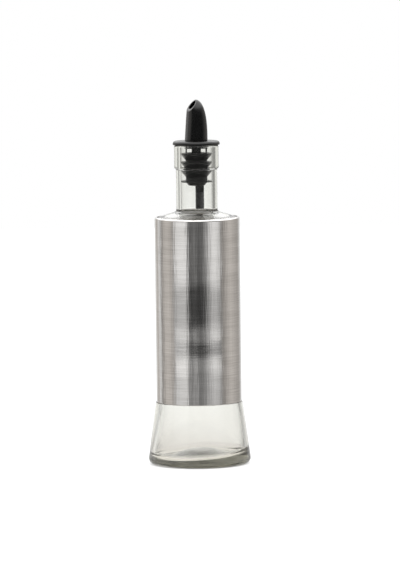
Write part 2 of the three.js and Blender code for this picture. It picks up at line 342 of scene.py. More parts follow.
@dataclass(frozen=True)
class MouldedBlack:
    """Black moulded polymer with a fine even grain, from a spark-eroded mould."""

    name: str
    light: str
    dark: str
    roughness: Point
    ior: float
    specular: float
    # The values of the patterns between which tone and gloss change.
    spread: Point = (0.35, 0.65)
    # The real grain is about 0.1 mm. It is drawn coarser, or it would not show.
    grain: float = 0.45
    grain_depth: float = 0.012
    patch: float = 4.0

    def build(self) -> Finish:
        """Make the material: a grain in height and tone, and slow patches where hands rub it.

        Returns:
            The material.
        """
        material, tree, surface, place = new_material(self.name)
        # The grain spreads the highlights, so the black has broad soft edges of light.
        grain = add_node(
            tree, "ShaderNodeTexNoise",
            {"Vector": place, "Scale": 1 / (self.grain * MM), "Detail": 2.0, "Roughness": 0.6},
        )
        patches = add_node(
            tree, "ShaderNodeTexNoise", {"Vector": place, "Scale": 1 / (self.patch * MM), "Detail": 2.0}
        )
        low, high = self.spread
        colour = add_node(tree, "ShaderNodeValToRGB", {"Fac": grain})
        set_stops(colour.color_ramp, [(low, linear(self.dark)), (high, linear(self.light))])
        gloss = add_node(
            tree, "ShaderNodeMapRange",
            {"Value": patches, 1: low, 2: high, 3: self.roughness[0], 4: self.roughness[1]},
        )
        bump = add_node(
            tree, "ShaderNodeBump", {"Height": grain, "Strength": 1.0, "Distance": self.grain_depth * MM}
        )
        polymer = add_node(
            tree, "ShaderNodeBsdfPrincipled",
            {
                "Base Color": colour,
                "Roughness": gloss,
                "IOR": self.ior,
                "Specular IOR Level": self.specular,
                "Normal": bump,
            },
        )
        tree.links.new(polymer.outputs[0], surface)
        return material


@dataclass(frozen=True)
class CuredAdhesive:
    """Pale acrylic adhesive, squeezed flat and cured."""

    name: str = "acrylic_adhesive_cured"
    light: str = "#d9d5c8"
    dark: str = "#c4bfb0"
    tone_spread: Point = (0.35, 0.65)
    roughness: Point = (0.45, 0.65)
    gloss_spread: Point = (0.3, 0.7)
    ior: float = 1.49
    cloud: float = 3.0

    def build(self) -> Finish:
        """Make the material: a cloudy pale mass with a dull gloss.

        Returns:
            The material.
        """
        material, tree, surface, place = new_material(self.name)
        # It cures unevenly, so it looks milky and its gloss comes and goes.
        clouds = add_node(
            tree, "ShaderNodeTexNoise", {"Vector": place, "Scale": 1 / (self.cloud * MM), "Detail": 3.0}
        )
        low, high = self.tone_spread
        colour = add_node(tree, "ShaderNodeValToRGB", {"Fac": clouds})
        set_stops(colour.color_ramp, [(low, linear(self.dark)), (high, linear(self.light))])
        low, high = self.gloss_spread
        gloss = add_node(
            tree, "ShaderNodeMapRange",
            {"Value": clouds, 1: low, 2: high, 3: self.roughness[0], 4: self.roughness[1]},
        )
        adhesive = add_node(
            tree, "ShaderNodeBsdfPrincipled", {"Base Color": colour, "Roughness": gloss, "IOR": self.ior}
        )
        tree.links.new(adhesive.outputs[0], surface)
        return material


def rounded(corners: Sequence[Corner], closed: bool) -> list[Point]:
    """Draw an outline through corners, in arcs where a corner has a fillet.

    Straight runs get a point close to each end, so that a fillet's shading stays in the fillet.

    Args:
        corners: Radius, height and perhaps a fillet of each corner, in millimetres.
        closed: Whether the outline returns to its first corner.

    Returns:
        The outline's points; a closed one repeats its first point at the end.
    """
    arc_step = math.radians(9)
    near_end, longest = 0.12, 5.0
    count = len(corners)
    bends: list[list[np.ndarray]] = []
    for i, corner in enumerate(corners):
        at = np.array(corner[:2], float)
        fillet = corner[2] if len(corner) > 2 else 0
        if not fillet:
            bends.append([at])
            continue
        back = np.array(corners[(i - 1) % count][:2], float) - at
        ahead = np.array(corners[(i + 1) % count][:2], float) - at
        back /= np.linalg.norm(back)
        ahead /= np.linalg.norm(ahead)
        half = math.acos(float(np.clip(back @ ahead, -1, 1))) / 2
        middle = (back + ahead) / np.linalg.norm(back + ahead)
        centre = at + middle * fillet / math.sin(half)
        start = at + back * fillet / math.tan(half) - centre
        end = at + ahead * fillet / math.tan(half) - centre
        sweep = math.atan2(start[0] * end[1] - start[1] * end[0], start @ end)
        steps = max(3, math.ceil(abs(sweep) / arc_step))
        arc = []
        for step in range(steps + 1):
            c, s = math.cos(sweep * step / steps), math.sin(sweep * step / steps)
            arc.append(centre + np.array((c * start[0] - s * start[1], s * start[0] + c * start[1])))
        bends.append(arc)
    points: list[np.ndarray] = []
    for i, bend in enumerate(bends):
        points.extend(bend)
        if i == count - 1 and not closed:
            break
        a, b = bend[-1], bends[(i + 1) % count][0]
        length = float(np.linalg.norm(b - a))
        if length < 3 * near_end:
            continue
        marks = np.linspace(near_end, length - near_end, max(2, math.ceil(length / longest) + 1))
        points.extend(a + (b - a) * mark / length for mark in marks)
    if closed:
        points.append(points[0])
    return [(float(p[0]), float(p[1])) for p in points]


def cap(edge_radius: float, edge_height: float, crown: float, steps: int) -> list[Point]:
    """Draw half of a shallow dome.

    Args:
        edge_radius: The dome's radius at its edge.
        edge_height: The edge's height.
        crown: The height on the axis.
        steps: How many parts it is divided into.

    Returns:
        The points from the axis out to the edge, which is left out.
    """
    rise = crown - edge_height
    sphere = (edge_radius ** 2 + rise ** 2) / (2 * rise)
    radii = [edge_radius * step / steps for step in range(steps)]
    return [(r, crown - sphere + math.sqrt(sphere ** 2 - r ** 2)) for r in radii]


def new_object(name: str, mesh: bpy.types.Mesh) -> Piece:
    """Put a mesh in the scene as an object at the origin.

    Args:
        name: The object's name.
        mesh: Its mesh.

    Returns:
        The object.
    """
    made = bpy.data.objects.new(name, mesh)
    bpy.context.scene.collection.objects.link(made)
    return made


def from_form(name: str, form: bmesh.types.BMesh, material: Finish | None = None) -> Piece:
    """Turn a drawn form into an object.

    Args:
        name: The object's name.
        form: The form, which is freed.
        material: The object's material, if it needs one.

    Returns:
        The object.
    """
    mesh = bpy.data.meshes.new(name)
    form.to_mesh(mesh)
    form.free()
    if material:
        mesh.materials.append(material)
    return new_object(name, mesh)


def settle(obj: Piece) -> None:
    """Turn an object with live modifiers into a plain mesh and remove them.

    Args:
        obj: The object.
    """
    graph = bpy.context.evaluated_depsgraph_get()
    mesh = bpy.data.meshes.new_from_object(obj.evaluated_get(graph))
    obj.modifiers.clear()
    obj.data = mesh


def close_up(obj: Piece, crease: float = 32.0) -> None:
    """Point a closed mesh's faces outwards and shade it smooth between its creases.

    Args:
        obj: The object, with a closed mesh.
        crease: The angle in degrees from which an edge stays sharp.
    """
    mesh = obj.data
    form = bmesh.new()
    form.from_mesh(mesh)
    if form.calc_volume(signed=True) < 0:
        bmesh.ops.reverse_faces(form, faces=form.faces)
    form.to_mesh(mesh)
    form.free()
    mesh.shade_smooth()
    mesh.set_sharp_from_angle(angle=math.radians(crease))


def hand_over(obj: Piece, body: Body, node: str) -> None:
    """Tell the frame which body a piece rides on and the node that it stands for.

    Args:
        obj: The finished piece.
        body: The body that it rides on.
        node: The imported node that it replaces.
    """
    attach(obj, body.value)
    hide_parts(node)
    LOG.info("%s: %d faces, on %s", obj.name, len(obj.data.polygons), body.value)


def carve(obj: Piece, cutters: Sequence[Piece]) -> None:
    """Cut solids out of an object and remove the cutters.

    Args:
        obj: The object to cut.
        cutters: The solids to take away.
    """
    for cutter in cutters:
        cut = obj.modifiers.new("cut", "BOOLEAN")
        cut.operation = "DIFFERENCE"
        cut.solver = "EXACT"
        cut.object = cutter
    settle(obj)
    for cutter in cutters:
        bpy.data.objects.remove(cutter)


class NodeSize(Enum):
    """The kinds of input that the geometry trees have."""

    GEOMETRY = "NodeSocketGeometry"
    COUNT = "NodeSocketInt"
    LENGTH = "NodeSocketFloat"
    MATERIAL = "NodeSocketMaterial"


class FormTree:
    """A geometry tree with named inputs, which shapes one object at a time."""

    def __init__(self, name: str, sizes: dict[str, NodeSize]) -> None:
        """Make the tree with its inputs.

        Args:
            name: The tree's name.
            sizes: The inputs that follow the geometry, with their kinds.
        """
        self.tree = bpy.data.node_groups.new(name, "GeometryNodeTree")
        face = self.tree.interface
        face.new_socket("Geometry", in_out="INPUT", socket_type=NodeSize.GEOMETRY.value)
        self.keys = {
            size: face.new_socket(size, in_out="INPUT", socket_type=kind.value).identifier
            for size, kind in sizes.items()
        }
        face.new_socket("Geometry", in_out="OUTPUT", socket_type=NodeSize.GEOMETRY.value)
        self.given = add_node(self.tree, "NodeGroupInput").outputs

    def end(self, shaped: Node) -> None:
        """Close the tree: instances made real, the material set, and the result put out.

        Args:
            shaped: The node whose first output is the finished shape.
        """
        real = add_node(self.tree, "GeometryNodeRealizeInstances", {"Geometry": shaped})
        dressed = add_node(
            self.tree, "GeometryNodeSetMaterial", {"Geometry": real, "Material": self.given["Material"]}
        )
        add_node(self.tree, "NodeGroupOutput", {"Geometry": dressed})

    def shape(self, obj: Piece, sizes: dict[str, Any]) -> None:
        """Shape an object with the tree, and make the result its plain mesh.

        Args:
            obj: The object, whose mesh goes into the tree.
            sizes: A value for each input.
        """
        modifier = obj.modifiers.new(self.tree.name, "NODES")
        modifier.node_group = self.tree
        for size, value in sizes.items():
            modifier[self.keys[size]] = value
        settle(obj)


class TurningTree(FormTree):
    """Turns a section, a chain of points in the XZ plane, about the Z axis."""

    def __init__(self) -> None:
        """Build the tree: a grid of points by sides, each column turned to its own angle."""
        super().__init__("turned_section", {"Sides": NodeSize.COUNT, "Material": NodeSize.MATERIAL})
        tree, given = self.tree, self.given
        count = add_node(tree, "GeometryNodeAttributeDomainSize", {"Geometry": given["Geometry"]})
        columns = add_node(tree, "ShaderNodeMath", {0: given["Sides"], 1: 1.0}, operation="ADD")
        grid = add_node(tree, "GeometryNodeMeshGrid", {"Vertices X": columns, "Vertices Y": count})
        index = add_node(tree, "GeometryNodeInputIndex")
        row = add_node(tree, "ShaderNodeMath", {0: index, 1: count}, operation="FLOORED_MODULO")
        column = add_node(tree, "ShaderNodeMath", {0: index, 1: count}, operation="DIVIDE")
        whole = add_node(tree, "ShaderNodeMath", {0: column}, operation="FLOOR")
        share = add_node(tree, "ShaderNodeMath", {0: whole, 1: given["Sides"]}, operation="DIVIDE")
        angle = add_node(tree, "ShaderNodeMath", {0: share, 1: FULL_TURN}, operation="MULTIPLY")
        sampled = add_node(
            tree, "GeometryNodeSampleIndex",
            {
                "Geometry": given["Geometry"],
                "Value": add_node(tree, "GeometryNodeInputPosition"),
                "Index": row,
            },
            data_type="FLOAT_VECTOR", domain="POINT",
        )
        turned = add_node(
            tree, "ShaderNodeVectorRotate", {"Vector": sampled, "Angle": angle}, rotation_type="Z_AXIS"
        )
        laid = add_node(tree, "GeometryNodeSetPosition", {"Geometry": grid, "Position": turned})
        joined = add_node(tree, "GeometryNodeMergeByDistance", {"Geometry": laid, "Distance": WELD})
        self.end(joined)

    def turn(self, name: str, section: Sequence[Point], sides: int, material: Finish) -> Piece:
        """Make a turned piece.

        Args:
            name: The piece's name.
            section: The outline's points in millimetres, closed or from axis to axis.
            sides: How many sides the round has.
            material: The piece's material.

        Returns:
            The piece, with a plain closed mesh.
        """
        mesh = bpy.data.meshes.new(name)
        points = [(r * MM, 0.0, z * MM) for r, z in section]
        mesh.from_pydata(points, [(i, i + 1) for i in range(len(points) - 1)], [])
        obj = new_object(name, mesh)
        self.shape(obj, {"Sides": sides, "Material": material})
        close_up(obj)
        return obj


class StippleTree(FormTree):
    """Fuses two staggered rings of low round dots with a body's level underside."""

    def __init__(self) -> None:
        """Build the tree: two circles of points, a flattened ball on each, one union."""
        lengths = ("Ring Radius", "Ring Spacing", "Dot Radius", "Dot Height", "Level")
        super().__init__(
            "stippled_bearing_ring",
            {
                **{size: NodeSize.LENGTH for size in lengths},
                "Dots": NodeSize.COUNT,
                "Material": NodeSize.MATERIAL,
            },
        )
        tree, given = self.tree, self.given
        wider = add_node(
            tree, "ShaderNodeMath", {0: given["Ring Radius"], 1: given["Ring Spacing"]}, operation="ADD"
        )
        inner, outer = (
            add_node(tree, "GeometryNodeMeshCircle", {"Vertices": given["Dots"], "Radius": radius})
            for radius in (given["Ring Radius"], wider)
        )
        half_pitch = add_node(tree, "ShaderNodeMath", {0: math.pi, 1: given["Dots"]}, operation="DIVIDE")
        stagger = add_node(tree, "ShaderNodeCombineXYZ", {"Z": half_pitch})
        turned = add_node(tree, "GeometryNodeTransform", {"Geometry": outer, "Rotation": stagger})
        rings = add_node(tree, "GeometryNodeJoinGeometry", {"Geometry": inner})
        tree.links.new(turned.outputs[0], rings.inputs[0])
        lift = add_node(tree, "ShaderNodeCombineXYZ", {"Z": given["Level"]})
        level = add_node(
            tree, "GeometryNodeTransform",
            {"Geometry": rings, "Translation": lift, "Rotation": (0, 0, DOT_TURN)},
        )
        ball = add_node(tree, "GeometryNodeMeshUVSphere", {"Segments": 10, "Rings": 6, "Radius": 1.0})
        size = add_node(
            tree, "ShaderNodeCombineXYZ",
            {"X": given["Dot Radius"], "Y": given["Dot Radius"], "Z": given["Dot Height"]},
        )
        dots = add_node(
            tree, "GeometryNodeInstanceOnPoints", {"Points": level, "Instance": ball, "Scale": size}
        )
        real = add_node(tree, "GeometryNodeRealizeInstances", {"Geometry": dots})
        union = add_node(
            tree, "GeometryNodeMeshBoolean", {"Mesh 2": given["Geometry"]},
            operation="UNION", solver="EXACT",
        )
        tree.links.new(real.outputs[0], union.inputs["Mesh 2"])
        self.end(union)


@dataclass
class Bottle:
    """The glass bottle: flared foot, thick domed floor, straight body, shoulder, neck and finish."""

    turning: TurningTree
    foot_height: float = 40.0
    foot_flare: float = 5.4
    foot_wall: float = 3.3
    foot_bend: float = 12.0
    heel_fillet: float = 3.51
    ledge_radius: float = 27.75
    bearing_set_in: float = 9.2
    push_up: float = 5.0
    floor_edge: float = 5.2
    floor_dome: float = 4.4
    floor_rim: float = 7.6
    floor_fillet: float = 4.0
    body_radius: float = 26.25
    body_wall: float = 3.0
    shoulder_rise: float = 4.0
    shoulder_wall: float = 3.4
    bore_radius: float = 10.25
    neck_wall: float = 2.95
    neck_length: float = 26.9
    finish_proud: float = 1.05
    finish_step: float = 1.0
    finish_height: float = 14.5
    # The blown floor lies a little aslant, thicker on one side.
    floor_slant: float = 3.4
    slant_reach: float = 16.0
    # The inner wall's waves: lobes round it, turn for each millimetre of height, start and share.
    wall_wave: float = 0.1
    waves: tuple[Row, ...] = ((3, 0.07, 0, 1), (5, -0.12, 1, 0.6))
    # They grow between two radii, deeper than the skin, and end under the shoulder.
    wave_radii: Point = (12.0, 20.0)
    skin: float = 2.2
    wave_bottom: float = 4.8
    wave_top: float = 150.0
    dot_radius: float = 0.5
    dot_height: float = 0.22
    dot_sunk: float = 0.05
    dot_count: int = 84
    dot_ring: float = 26.3
    dot_spacing: float = 1.5
    sides: int = 160

    def section(self) -> list[Point]:
        """Draw the bottle's section, from the push-up round the outside and down the inside.

        Returns:
            The points from axis to axis, in millimetres.
        """
        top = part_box("glass_bottle")[1].z / MM
        toe = self.ledge_radius + self.foot_flare
        slope = self.foot_flare / self.foot_height
        inner = self.body_radius - self.body_wall
        neck = self.bore_radius + self.neck_wall
        finish = neck + self.finish_proud
        finish_bottom = top - self.finish_height - self.finish_step
        neck_root = finish_bottom - self.neck_length
        shoulder = neck_root - self.shoulder_rise
        rise = self.shoulder_rise / (self.body_radius - neck)
        bearing = toe - self.bearing_set_in
        level = self.dot_height

        def foot_inner(z: float) -> float:
            """Radius of the foot's inner wall at a height."""
            return toe - self.foot_wall - z * slope

        def shoulder_inner(r: float) -> float:
            """Height of the shoulder's inner wall at a radius."""
            return shoulder + (self.body_radius - r) * rise - self.shoulder_wall

        dome = foot_inner(self.floor_edge) - self.floor_rim
        # The last corner only guides the floor's fillet: from there the dome takes over.
        wall = rounded(
            [
                (bearing, level, 0.4),
                (toe - level * slope, level, self.heel_fillet),
                (self.ledge_radius, self.foot_height, 0.35),
                (self.body_radius, self.foot_height, 0.2),
                (self.body_radius, shoulder, 3.0),
                (neck, neck_root, 2.4),
                (neck, finish_bottom, 0.7),
                (finish, finish_bottom + self.finish_step, 0.7),
                (finish, top, 1.2),
                (self.bore_radius, top, 0.8),
                (self.bore_radius, shoulder_inner(self.bore_radius), 3.0),
                (inner, shoulder_inner(inner), 5.0),
                (inner, (toe - self.foot_wall - inner) / slope, self.foot_bend),
                (foot_inner(self.floor_edge), self.floor_edge, self.floor_fillet),
                (dome, self.floor_edge, 3.0),
                (dome * 0.5, self.floor_edge + self.floor_dome * 0.75),
            ],
            closed=False,
        )
        underside = cap(bearing, level, level + self.push_up, steps=10)
        floor = cap(dome, self.floor_edge, self.floor_edge + self.floor_dome, steps=14)
        rim = wall[-1][0]
        return underside + wall[1:-1] + [p for p in reversed(floor) if p[0] < rim]

    def weather(self, obj: Piece) -> None:
        """Give the inner wall the slant floor and the slow waves of blown glass.

        Args:
            obj: The turned bottle.
        """
        mesh = obj.data
        places = np.empty(len(mesh.vertices) * 3, np.float32)
        mesh.vertices.foreach_get("co", places)
        places = places.reshape(-1, 3).astype(float) / MM
        x, y, z = places.T
        radius = np.hypot(x, y)
        turn = np.arctan2(y, x)
        toe = self.ledge_radius + self.foot_flare
        slope = self.foot_flare / self.foot_height
        outside = np.where(z < self.foot_height, toe - z * slope, self.body_radius)
        inside = (radius < outside - self.skin) & (z > self.wave_bottom) & (z < self.wave_top)
        share = np.clip((z - self.floor_edge) / self.slant_reach, 0, 1)
        fade = 1 - share * share * (3 - 2 * share)
        places[:, 2] += np.where(inside, x * math.tan(math.radians(self.floor_slant)) * fade, 0)
        wave = sum(
            part * np.sin(lobes * turn + climb * z + start) for lobes, climb, start, part in self.waves
        )
        first, full = self.wave_radii
        grown = np.clip((radius - first) / (full - first), 0, 1)
        push = np.where(inside & (radius > first), self.wall_wave * wave * grown, 0)
        places[:, 0] += push * np.cos(turn)
        places[:, 1] += push * np.sin(turn)
        mesh.vertices.foreach_set("co", (places * MM).astype(np.float32).ravel())
        mesh.update()

    def build(self, glass: Finish) -> None:
        """Make the bottle and dress it.

        Args:
            glass: The glass material.
        """
        obj = self.turning.turn("bottle_glass", self.section(), self.sides, glass)
        self.weather(obj)
        StippleTree().shape(
            obj,
            {
                "Ring Radius": self.dot_ring * MM,
                "Ring Spacing": self.dot_spacing * MM,
                "Dots": self.dot_count,
                "Dot Radius": self.dot_radius * MM,
                "Dot Height": (self.dot_height + self.dot_sunk) * MM,
                "Level": (self.dot_height + self.dot_sunk) * MM,
                "Material": glass,
            },
        )
        close_up(obj)
        hand_over(obj, Body.BOTTLE, "glass_bottle")
        # Clear glass lets the light through to what is in it.
        obj.visible_shadow = False


@dataclass
class Sleeve:
    """The steel sleeve, its top edge rolled in, and the two adhesive bands behind it."""

    turning: TurningTree
    sheet: float = 0.5
    lip_radius: float = 1.6
    lip_land: float = 0.05
    lip_land_inside: float = 0.2
    hem: float = 0.12
    sides: int = 192
    band_thickness: float = 0.3
    band_edge: float = 0.14
    band_sides: int = 96

    def build(self, steel: Finish, adhesive: Finish) -> None:
        """Make the sleeve and the bands, and dress them.

        Args:
            steel: The sleeve's material.
            adhesive: The bands' material.
        """
        low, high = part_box("steel_sleeve")
        outer, bottom, top = high.x / MM, low.z / MM, high.z / MM
        inner = outer - self.sheet
        lip = outer - self.lip_radius
        section = rounded(
            [
                (inner, bottom, self.hem),
                (outer, bottom, self.hem),
                (outer, top, self.lip_radius - self.lip_land),
                (lip, top, self.hem),
                (lip, top - self.sheet, self.hem),
                (inner, top - self.sheet, self.lip_radius - self.sheet - self.lip_land_inside),
            ],
            closed=True,
        )
        sleeve = self.turning.turn("sleeve_steel_tube", section, self.sides, steel)
        hand_over(sleeve, Body.BOTTLE, "steel_sleeve")
        for node in ("lower_bond_band", "upper_bond_band"):
            self.band(node, adhesive)

    def band(self, node: str, adhesive: Finish) -> None:
        """Make one adhesive band, its ends squeezed round.

        Args:
            node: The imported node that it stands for.
            adhesive: Its material.
        """
        low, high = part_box(node)
        outer, bottom, top = high.x / MM, low.z / MM, high.z / MM
        inner = outer - self.band_thickness
        ends = ((inner, bottom), (outer, bottom), (outer, top), (inner, top))
        section = rounded([(*end, self.band_edge) for end in ends], closed=True)
        name = node.replace("_band", "_adhesive")
        obj = self.turning.turn(name, section, self.band_sides, adhesive)
        hand_over(obj, Body.BOTTLE, node)


@dataclass
class Stopper:
    """The soft ribbed stopper and the dip tube pressed into its end."""

    turning: TurningTree
    core_radius: float = 6.9
    air_way: float = 5.85
    socket: float = 3.15
    fin_radius: float = 9.95
    fin_count: int = 3
    fin_pitch: float = 5.35
    fin_depth: float = 4.2
    fin_edge: float = 1.1
    fin_root: float = 0.2
    fin_lean: float = 0.3
    flange_thickness: float = 2.5
    boss_proud: float = 0.85
    boss_height: float = 2.2
    window_height: float = 3.0
    window_half: float = 6.1
    wiper_thickness: float = 0.9
    end_height: float = 2.2
    end_radius: float = 5.1
    air_way_depth: float = 12.2
    chamber_depth: float = 4.5
    tube_offset: float = 1.9
    tube_hole: float = 2.85
    tube_wall: float = 0.9
    tube_sides: int = 64
    air_hole: float = 0.6
    air_hole_offset: float = 4.15
    # How far the holes run out of the end and into the air way, and the tube's into the chamber.
    overrun: float = 1.0
    tube_overrun: float = 0.5
    cutter_sides: int = 48
    sides: int = 128

    def section(self) -> list[Point]:
        """Draw the stopper's section, from the end up the fins and down the air way.

        Returns:
            The points from axis to axis, in millimetres.
        """
        low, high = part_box("ribbed_stopper")
        end, top, flange = low.z / MM, high.z / MM, high.x / MM
        flange_low = top - self.flange_thickness
        boss_low = flange_low - self.boss_height
        first = boss_low - self.window_height
        wiper_low = end + self.end_height
        wiper_top = wiper_low + self.wiper_thickness
        core, fin = self.core_radius, self.fin_radius
        corners: list[Corner] = [
            (0, end),
            (self.end_radius, end, 0.5),
            (core, wiper_low, 0.3),
            (fin, wiper_low, 0.3),
            (fin, wiper_top, 0.3),
            (core, wiper_top, 0.25),
        ]
        for i in reversed(range(self.fin_count)):
            crest = first - i * self.fin_pitch
            corners += [
                (core, crest - self.fin_depth, 0.1),
                (core + self.fin_root, crest - self.fin_depth, 0.08),
                (fin - self.fin_lean, crest - self.fin_edge, 0.4),
                (fin, crest, 0.35),
                (core, crest, 0.25),
            ]
        air_low = boss_low - self.air_way_depth
        corners += [
            (core, boss_low, 0.2),
            (core + self.boss_proud, boss_low, 0.3),
            (core + self.boss_proud, flange_low, 0.2),
            (flange, flange_low, 0.35),
            (flange, top, 1.8),
            (self.air_way, top, 0.3),
            (self.air_way, air_low),
            (self.socket, air_low),
            (self.socket, air_low - self.chamber_depth),
            (0, air_low - self.chamber_depth),
        ]
        return rounded(corners, closed=False)

    def rod_cutter(self, radius: float, low: float, high: float, x: float) -> Piece:
        """Make an upright round cutter.

        Args:
            radius: Its radius.
            low: The height where it starts.
            high: The height where it ends.
            x: Its place along X.

        Returns:
            The cutter.
        """
        form = bmesh.new()
        place = Matrix.Translation((x * MM, 0, (low + high) / 2 * MM))
        bmesh.ops.create_cone(
            form, cap_ends=True, segments=self.cutter_sides, radius1=radius * MM, radius2=radius * MM,
            depth=(high - low) * MM, matrix=place @ Matrix.Rotation(CUTTER_TURN, 4, "Z"),
        )
        return from_form("cutter", form)

    def window_cutter(self, middle: float) -> Piece:
        """Make the cutter for the two facing windows of the waist.

        Args:
            middle: The windows' middle height.

        Returns:
            The cutter, a block that passes right through the stopper.
        """
        form = bmesh.new()
        size = (2 * self.window_half * MM, 3 * self.fin_radius * MM, self.window_height * MM)
        place = Matrix.Translation((0, 0, middle * MM))
        bmesh.ops.create_cube(form, size=1.0, matrix=place @ Matrix.Diagonal((*size, 1.0)))
        return from_form("cutter", form)

    def build(self, elastomer: Finish, plastic: Finish) -> None:
        """Make the stopper and the dip tube, and dress them.

        Args:
            elastomer: The stopper's material.
            plastic: The dip tube's material.
        """
        low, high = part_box("ribbed_stopper")
        end, top = low.z / MM, high.z / MM
        boss_low = top - self.flange_thickness - self.boss_height
        air_low = boss_low - self.air_way_depth
        chamber_low = air_low - self.chamber_depth
        obj = self.turning.turn("stopper_ribbed", self.section(), self.sides, elastomer)
        out = end - self.overrun
        carve(
            obj,
            [
                self.rod_cutter(self.tube_hole, out, chamber_low + self.tube_overrun, self.tube_offset),
                self.rod_cutter(self.air_hole, out, air_low + self.overrun, -self.air_hole_offset),
                self.window_cutter(boss_low - self.window_height / 2),
            ],
        )
        # The stopper stands turned so that its dip tube's hole lies where the tube does.
        low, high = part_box("dip_tube")
        centre = (low + high) / 2
        obj.data.transform(Matrix.Rotation(math.atan2(centre.y, centre.x), 4, "Z"))
        close_up(obj)
        hand_over(obj, Body.STOPPER, "ribbed_stopper")

        outer = (high.x - low.x) / 2 / MM
        bore = outer - self.tube_wall
        section = rounded(
            [
                (bore, low.z / MM, 0.15),
                (outer, low.z / MM, 0.4),
                (outer, high.z / MM, 0.15),
                (bore, high.z / MM, 0.15),
            ],
            closed=True,
        )
        tube = self.turning.turn("dip_tube_plastic", section, self.tube_sides, plastic)
        tube.data.transform(Matrix.Translation((centre.x, centre.y, 0)))
        hand_over(tube, Body.STOPPER, "dip_tube")


